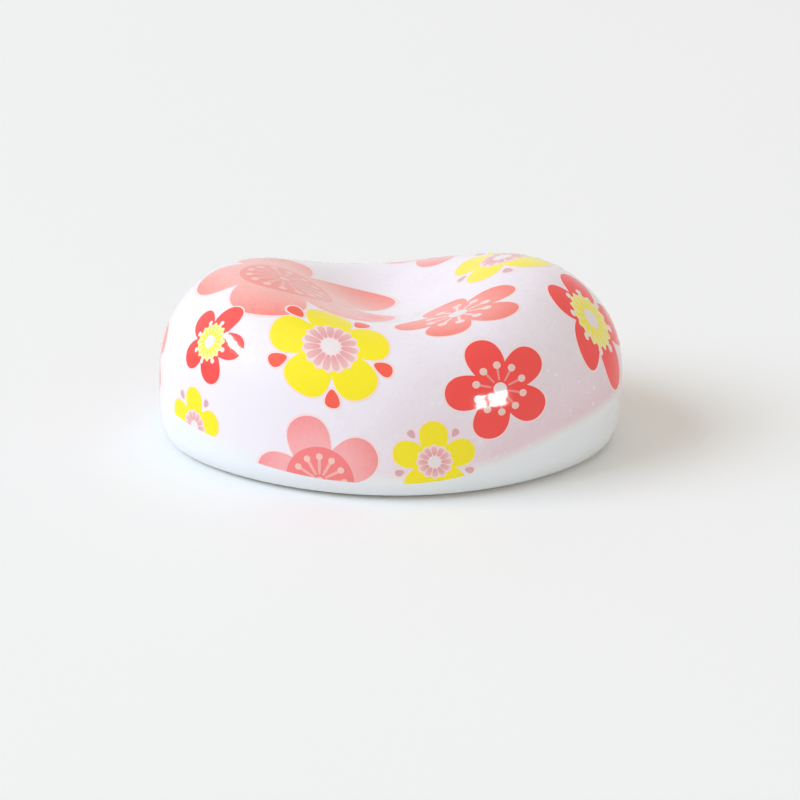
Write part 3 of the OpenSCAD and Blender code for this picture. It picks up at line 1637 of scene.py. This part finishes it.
    def trimmed(self, graph: FormGraph, laid: Socket, form: Form) -> Socket:
        """Cuts what hangs below the print's edge, and brings the cut to the edge.

        Args:
            graph: The tree to build in.
            laid: The laid sheets.
            form: The form that they lie on.

        Returns:
            The sheets that are left.
        """
        bearing, height = graph.bearing_and_height()
        cut = Value(graph, graph.stored("cut"))
        edge = form.print_edge(bearing) + cut
        depth = form.glaze_depth - (form.glaze_depth - form.print_depth) * graph.clamp(
            cut / self.cut_fade)
        laid = graph.kept(laid, "below", height < edge)
        below = Value(graph, graph.stored("below"))
        laid = graph.node("GeometryNodeDeleteGeometry", {"domain": "FACE"}, {
            "Geometry": laid, "Selection": below > self.ALL_BELOW}).outputs[0]
        return graph.node("GeometryNodeSetPosition", inputs={
            "Geometry": laid, "Selection": below > self.HALF_BELOW,
            "Position": graph.joined(form.wall(bearing, edge, depth))}).outputs[0]

    def slabs(self, graph: FormGraph, laid: Socket, skin: Socket) -> Socket:
        """Gives the laid sheets their thickness, with the skin's normals.

        Args:
            graph: The tree to build in.
            laid: The laid sheets.
            skin: The mesh that they lie on.

        Returns:
            Closed slabs.
        """
        position = graph.position()
        normal = graph.stored(Layers.SKIN_NORMAL, "FLOAT_VECTOR")
        laid = graph.kept(laid, "out_normal", graph.sampled(skin, normal, position),
                          "FLOAT_VECTOR")
        out = graph.stored("out_normal", "FLOAT_VECTOR")
        lift = Value(graph, graph.stored(self.LIFT))
        drop = lift * self.sink_share + self.sink
        low = graph.node("GeometryNodeSetPosition", inputs={
            "Geometry": laid, "Offset": graph.vector("SCALE", out, -drop)}).outputs[0]
        low = graph.welded(low, self.slab_weld)
        raised = graph.node("GeometryNodeExtrudeMesh", inputs={
            "Mesh": low, "Individual": False, "Offset Scale": 0.0})
        top = graph.node("GeometryNodeFieldOnDomain", {"domain": "POINT", "data_type": "FLOAT"},
                         {"Value": raised.outputs["Top"]}).outputs[0]
        high = graph.kept(raised.outputs["Mesh"], "top", raised.outputs["Top"], domain="FACE")
        high = graph.kept(high, "high", top)
        high = graph.node("GeometryNodeSetPosition", inputs={
            "Geometry": high, "Selection": Value(graph, graph.stored("high")) > self.ON_TOP,
            "Offset": graph.vector("SCALE", out, lift + drop)}).outputs[0]
        base = graph.kept(graph.flipped(low), "top", -1.0, domain="FACE")
        solid = graph.creased(graph.together([high, base], self.slab_weld))
        return graph.facing(solid, out, Value(graph, graph.stored("top")))

    def build(self, form: Form, skin: bpy.types.Object,
              placings: List[Placing]) -> bpy.types.Object:
        """Draws the motif, lays one at each placing and keeps them as one piece.

        Args:
            form: The form that the blossoms lie on.
            skin: The object whose surface they are laid on.
            placings: Where they lie.

        Returns:
            The piece.
        """
        graph = FormGraph(self.name + "_form")
        own = graph.opened(self)
        graph.tree.interface.new_socket("Skin", in_out="INPUT", socket_type="NodeSocketObject")
        former = graph.node("GeometryNodeObjectInfo", inputs={
            "Object": graph.entry.outputs["Skin"]}).outputs["Geometry"]
        parts = own.petal_sheet(graph) + (own.eye_sheet(graph) if self.eye else [])
        parts += own.stamen_sheets(graph) + own.heart_sheet(graph)
        parts += own.sepal_sheets(graph) if self.sepal else []
        copies = graph.node("GeometryNodeInstanceOnPoints", inputs={
            "Points": graph.entry.outputs["Geometry"], "Instance": graph.together(parts),
            "Scale": graph.vector("SCALE", (1.0, 1.0, 1.0), graph.stored("radius"))})
        laid = own.walked(graph, graph.real(copies.outputs[0]), former)
        laid = own.trimmed(graph, laid, graph.opened(form))
        graph.ends(own.slabs(graph, laid, former))
        graph.settings["Skin"] = skin
        piece = graph.run(self.name, self.points(form, placings))
        kept = (self.OUT, "position", "material_index", "custom_normal")
        for name in [a.name for a in piece.data.attributes
                     if not a.name.startswith(".") and a.name not in kept
                     and a.name not in ("sharp_face", "sharp_edge")]:
            piece.data.attributes.remove(piece.data.attributes[name])
        return piece


class Lights(Enum):
    """What a lamp does: it lights the rest, or only shows in its gloss."""

    REST = "rest"
    GLOSS = "gloss"


@dataclass(frozen=True)
class Lamp:
    """Flat studio lamp that looks at the rest, seen from it in one direction.

    The azimuth is in degrees from the front, positive to the right, and the elevation is
    in degrees above the table. The roll turns the lamp, in degrees, about that direction.
    WATTS is its power for each unit of radiance and of area.
    """

    name: str
    lights: Lights
    azimuth: float
    elevation: float
    distance: float
    width: float
    height: float
    radiance: float
    roll: float = 0.0
    tint: Tuple[float, float, float] = (1.0, 1.0, 1.0)

    WATTS = 4.0

    def place(self, target: Vector) -> None:
        """Hangs the lamp and points it at the target.

        Args:
            target: The point that it looks at.
        """
        made = bpy.data.lights.new(self.name, "AREA")
        made.shape = "RECTANGLE"
        made.size, made.size_y = self.width, self.height
        made.energy = self.radiance * self.width * self.height * self.WATTS
        made.color = self.tint
        lamp = bpy.data.objects.new(self.name, made)
        around, up = math.radians(self.azimuth), math.radians(self.elevation)
        away = Vector((math.cos(up) * math.sin(around), -math.cos(up) * math.cos(around),
                       math.sin(up)))
        turned = Matrix.Rotation(math.radians(self.roll), 3, away)
        lamp.matrix_world = (Matrix.Translation(target + away * self.distance)
                             @ (turned @ (-away).to_track_quat("-Z", "Y").to_matrix()).to_4x4())
        lamp.visible_camera = False
        lamp.visible_diffuse = self.lights is Lights.REST
        lamp.visible_glossy = self.lights is Lights.GLOSS
        bpy.context.scene.collection.objects.link(lamp)
        log.info("lamp %s", self.name)


@dataclass
class Studio:
    """Pale floor, plain soft light and the camera."""

    floor_half: float = 1.5
    view_elevation: float = 24.83
    view_yaw: float = 5.9
    view_roll: float = 2.21
    distance: float = 300 * MM
    target_h: float = 10 * MM
    lens: float = 126.04
    sensor: float = 36.0
    picture: float = 800.0
    target_x: float = 393.18
    target_y: float = 351.2
    wall_way: Tuple[float, float, float] = (-0.82, -0.08, 0.57)
    wall_edge: float = 0.5
    wall_glow: float = 0.8
    surround: Tuple[float, float, float, float] = (1.0, 0.915, 0.8, 1.0)
    surround_glow: float = 0.645
    backdrop: Tuple[float, float, float, float] = (0.97, 0.97, 0.97, 1.0)
    backdrop_gain: float = 0.335
    floor_pale: Colour = (249, 252, 254)
    floor_deep: Colour = (247, 250, 253)
    floor_patches: float = 9.0
    floor_roughness: float = 0.7
    clip_near: float = 0.01
    clip_far: float = 10.0
    lamps: List[Lamp] = field(default_factory=lambda: [
        Lamp("key_left", Lights.REST, -80, 38, 2.7, 1.5, 1.5, 5.35, tint=(0.75, 0.86, 1.0)),
        Lamp("window_wide", Lights.GLOSS, 39.3, -3.0, 0.075, 0.0090, 0.0118, 22.0),
        Lamp("window_narrow", Lights.GLOSS, 32.3, -3.0, 0.0744, 0.0052, 0.0112, 22.0),
        Lamp("window_left", Lights.GLOSS, -68, 21.5, 0.5, 0.2, 0.045, 36.0, roll=-35),
    ])

    def floor(self) -> None:
        """Plain pale floor that shows the shadow."""
        half = self.floor_half
        mesh = bpy.data.meshes.new("floor")
        mesh.from_pydata([(-half, -half, 0), (half, -half, 0), (half, half, 0),
                          (-half, half, 0)], [], [(0, 1, 2, 3)])
        floor = bpy.data.objects.new("floor", mesh)
        bpy.context.scene.collection.objects.link(floor)
        made = bpy.data.materials.new("pale_floor")
        made.use_nodes = True
        graph = Graph(made.node_tree)
        surface = made.node_tree.nodes["Principled BSDF"]
        place = graph.node("ShaderNodeTexCoord").outputs["Object"]
        patches = graph.node("ShaderNodeTexNoise", inputs={
            "Vector": place, "Scale": self.floor_patches, "Detail": 3.0}).outputs["Fac"]
        graph.feed(surface.inputs["Base Color"],
                   graph.mix(patches, linear(*self.floor_deep), linear(*self.floor_pale)))
        surface.inputs["Roughness"].default_value = self.floor_roughness
        surface.inputs["Specular IOR Level"].default_value = 0.0
        mesh.materials.append(made)

    def world(self) -> None:
        """Even white surround, with a bright wall at the left that only shows in gloss."""
        world = bpy.data.worlds.new("surround")
        bpy.context.scene.world = world
        world.use_nodes = True
        graph = Graph(world.node_tree)
        back = world.node_tree.nodes["Background"]
        rays = graph.node("ShaderNodeLightPath").outputs
        seen = graph.clamp(Value(graph, rays["Is Camera Ray"]) + Value(graph, rays["Is Glossy Ray"])
                           + Value(graph, rays["Is Transmission Ray"]))
        graph.feed(back.inputs["Color"], graph.mix(seen, self.surround, self.backdrop))
        way = graph.node("ShaderNodeTexCoord").outputs["Generated"]
        towards = Value(graph, graph.vector("DOT_PRODUCT", way, self.wall_way))
        wall = graph.ease((towards - self.wall_edge) / (1 - self.wall_edge))
        wall = wall * Value(graph, rays["Is Glossy Ray"]) * self.wall_glow
        graph.feed(back.inputs["Strength"],
                   self.surround_glow + seen * self.backdrop_gain + wall)

    def camera(self) -> None:
        """Camera at the photograph's angle, aimed so that the rest lies where it does there."""
        up, yaw = math.radians(self.view_elevation), math.radians(self.view_yaw)
        away = Vector((-math.cos(up) * math.sin(yaw), -math.cos(up) * math.cos(yaw),
                       math.sin(up)))
        right = Vector((math.cos(yaw), -math.sin(yaw), 0))
        over = away.cross(right)
        roll = math.radians(self.view_roll)
        turned_right = right * math.cos(roll) + over * math.sin(roll)
        turned_up = over * math.cos(roll) - right * math.sin(roll)
        looking = Matrix((turned_right, turned_up, away)).transposed()
        focal = self.lens / self.sensor * self.picture
        aim = Vector((self.target_x - self.picture / 2, self.picture / 2 - self.target_y,
                      -focal)).normalized()
        looking = looking @ aim.rotation_difference(Vector((0, 0, -1))).to_matrix()
        data = bpy.data.cameras.new("camera")
        data.lens, data.sensor_width = self.lens, self.sensor
        data.clip_start, data.clip_end = self.clip_near, self.clip_far
        camera = bpy.data.objects.new("camera", data)
        camera.matrix_world = Matrix.Translation(
            Vector((0, 0, self.target_h)) + away * self.distance) @ looking.to_4x4()
        bpy.context.scene.collection.objects.link(camera)
        bpy.context.scene.camera = camera

    def build(self) -> None:
        """Sets up the camera, the light and the floor."""
        scene = bpy.context.scene
        scene.view_settings.view_transform = "Standard"
        self.camera()
        self.world()
        for lamp in self.lamps:
            lamp.place(Vector((0, 0, self.target_h)))
        self.floor()


YELLOW = Ink("yellow_ink", (255, 238, 2), (255, 239, 6), 0.3)
RED = Ink("red_ink", (252, 78, 72), (255, 72, 68))
WARM_RED = Ink("warm_red_ink", (254, 94, 74), (254, 94, 74))
CORAL = Ink("coral_ink", (252, 150, 152), (255, 190, 192))
DEEP_CORAL = Ink("deep_coral_ink", (252, 132, 133), (252, 132, 133))
WARM_CORAL = Ink("warm_coral_ink", (254, 139, 131), (255, 203, 198))
WARM_DISC = Ink("warm_disc_ink", (253, 160, 154), (253, 160, 154))
SOFT_CORAL = Ink("soft_coral_ink", (252, 134, 124), (254, 168, 161))
PINK_BAR = Ink("pink_bar_ink", (243, 195, 196), (234, 159, 165))
PALE_PINK = Ink("pale_pink_ink", (250, 224, 224), (250, 224, 224))
STAMEN_PINK = Ink("stamen_pink_ink", (250, 210, 204), (244, 154, 148))
CLUB_PINK = Ink("club_ink", (252, 206, 198), (250, 184, 180))
HEART_WHITE = Ink("heart_ink", (242, 234, 238), (244, 240, 242))
HALO = Ink("halo_ink", (251, 227, 229), (251, 227, 229))
DUSKY = Ink("dusky_ink", (224, 176, 186), (224, 176, 186))
EYE_YELLOW = Ink("eye_yellow_ink", (240, 226, 60), (250, 246, 190))


Kinds = List[Tuple[Motif, List[Placing]]]


@dataclass
class Print:
    """The printed blossoms: each kind and where its copies lie."""

    form: Form
    skin: bpy.types.Object

    def yellow(self) -> Kinds:
        """Yellow blossoms with a disc of pink stamens, and a sepal between each two petals.

        Returns:
            Each kind with its placings.
        """
        big = Motif("big_yellow_blossoms",
                    Palette(YELLOW, HALO, PALE_PINK, PINK_BAR, HEART_WHITE, WARM_RED),
                    Style.BARS, eye=0.46, teeth=15, tooth=0.05, stamens=15, stamen_in=0.17,
                    stamen_out=0.44, stamen_w=0.056, sepal=0.16, sepal_at=0.91, over=0.01 * MM)
        small = Motif("small_yellow_blossoms",
                      Palette(YELLOW, HALO, PALE_PINK, PINK_BAR, HEART_WHITE, DUSKY),
                      Style.BARS, notch=0.5, bulge=0.09, eye=0.42, teeth=12, tooth=0.05,
                      stamens=12, stamen_in=0.16, stamen_out=0.38, stamen_w=0.06, sepal=0.11,
                      sepal_at=0.86)
        return [
            (big, [Placing(-122.7, 0.42, 6.1 * MM, 20, 0.08, -12, 0.04, -18),
                   Placing(97, -0.06, 6.2 * MM, 50)]),
            (small, [Placing(-160.1, -0.04, 3.9 * MM, 2.5, 0.13, -85, cut=1.1 * MM),
                     Placing(-79.1, -0.05, 4.55 * MM, 2, 0.05, -53),
                     Placing(18.8, 0.64, 6.2 * MM, 37, 0.2, -73, 0.17, 9),
                     Placing(39, -0.04, 4.3 * MM, 30),
                     Placing(107, 0.27, 3.0 * MM, 12)]),
        ]

    def red(self) -> Kinds:
        """Red and soft coral blossoms with threads, and red ones with a yellow eye.

        Returns:
            Each kind with its placings.
        """
        red = Motif("red_blossoms",
                    Palette(RED, HALO, RED, STAMEN_PINK, HEART_WHITE, RED), Style.FILAMENTS,
                    bulge=0.075, stamen_out=0.45, stamen_w=0.02, anther=0.072, heart=0.125,
                    phase=0.5)
        soft = Motif("soft_coral_blossoms",
                     Palette(SOFT_CORAL, HALO, RED, PALE_PINK, HEART_WHITE, RED),
                     Style.FILAMENTS, bulge=0.09, stamen_out=0.45, stamen_w=0.024,
                     anther=0.075, phase=0.5)
        eyed = Motif("yellow_eyed_blossoms",
                     Palette(RED, HALO, EYE_YELLOW, YELLOW, HEART_WHITE, RED), Style.RAYS,
                     notch=0.5, bulge=0.07, eye=0.44, teeth=16, tooth=0.07, stamens=16,
                     stamen_in=0.15, stamen_out=0.42, stamen_w=0.03, anther=0.06, heart=0.16,
                     over=0.01 * MM)
        return [
            (red, [Placing(-55.1, 0.19, 5.75 * MM, 14, 0.05, -18),
                   Placing(141, 0.22, 5.2 * MM, 30),
                   Placing(13, -0.02, 5.0 * MM, 50)]),
            (soft, [Placing(-51.0, 0.686, 5.4 * MM, 57, 0.33, -25, 0.09, 101),
                    Placing(172.5, 0.07, 5.3 * MM, 18)]),
            (eyed, [Placing(-158.6, 0.27, 4.1 * MM, 67, 0.13, 86, 0.13, 107),
                    Placing(-11, 0.30, 6.5 * MM, 27.5, 0.19, 87, 0.25, 31),
                    Placing(33, 0.21, 3.9 * MM, 8),
                    Placing(154, -0.17, 4.6 * MM, 40)]),
        ]

    def two_tone(self) -> Kinds:
        """Coral blossoms with a deeper disc under club-shaped stamens.

        Returns:
            Each kind with its placings.
        """
        inks = Palette(CORAL, HALO, DEEP_CORAL, CLUB_PINK, CLUB_PINK, RED)
        small = Motif("two_tone_blossoms", inks, Style.CLUBS, notch=0.5, bulge=0.09, eye=0.53,
                      stamens=12, stamen_in=0.1, stamen_out=0.38, stamen_w=0.022,
                      anther=0.052, heart=0.06, phase=0.5)
        warm = Palette(WARM_CORAL, HALO, WARM_DISC, CLUB_PINK, CLUB_PINK, RED)
        large = Motif("large_two_tone_blossoms", warm, Style.CLUBS, notch=0.54, bulge=0.1,
                      eye=0.44, stamens=14, stamen_in=0.08, stamen_out=0.34, stamen_w=0.02,
                      anther=0.04, heart=0.05, petal_spokes=60, petal_rows=26, eye_rows=12)
        return [
            (small, [Placing(-120.3, -0.31, 7.15 * MM, 14, 0.05, 88),
                     Placing(66, 0.33, 6.4 * MM, 4)]),
            (large, [Placing(183, 0.80, 10.0 * MM, 28, 0.19, 90, 0.21, 177)]),
        ]

    def kinds(self) -> Kinds:
        """Every kind of blossom with its placings."""
        return self.yellow() + self.red() + self.two_tone()

    def build(self) -> List[bpy.types.Object]:
        """Lays every blossom.

        Returns:
            One piece for each kind.
        """
        pieces = []
        for motif, placings in self.kinds():
            pieces.append(motif.build(self.form, self.skin, placings))
            log.info("%s: %d laid", motif.name, len(placings))
        return pieces


def main() -> None:
    """Builds the rest's layers, its blossoms and the studio."""
    logging.basicConfig(level=logging.INFO, format="%(name)s: %(message)s")
    low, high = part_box("transfer_film")
    form = Form(half_l=(high.x - low.x) / 2, half_w=(high.y - low.y) / 2)
    Studio().build()
    layers = Layers(form)
    clay = layers.body(Clay("bare_clay"))
    glaze = layers.glaze(Glaze("fired_glaze", form.glaze_line_h))
    ground = layers.ground(PrintedGround("pink_ground", form.half_l))
    skin = layers.former()
    blossoms = Print(form, skin).build()
    bpy.data.objects.remove(skin)
    for piece, node, slot in ((clay, "porcelain_body", "bare_porcelain"),
                              (glaze, "white_glaze", "white_glaze"),
                              (ground, "transfer_film", "printed_transfer")):
        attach(piece, "root")
        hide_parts(node)
    for piece in blossoms:
        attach(piece, "root")
        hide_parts("transfer_film")


if __name__ == "__main__":
    main()
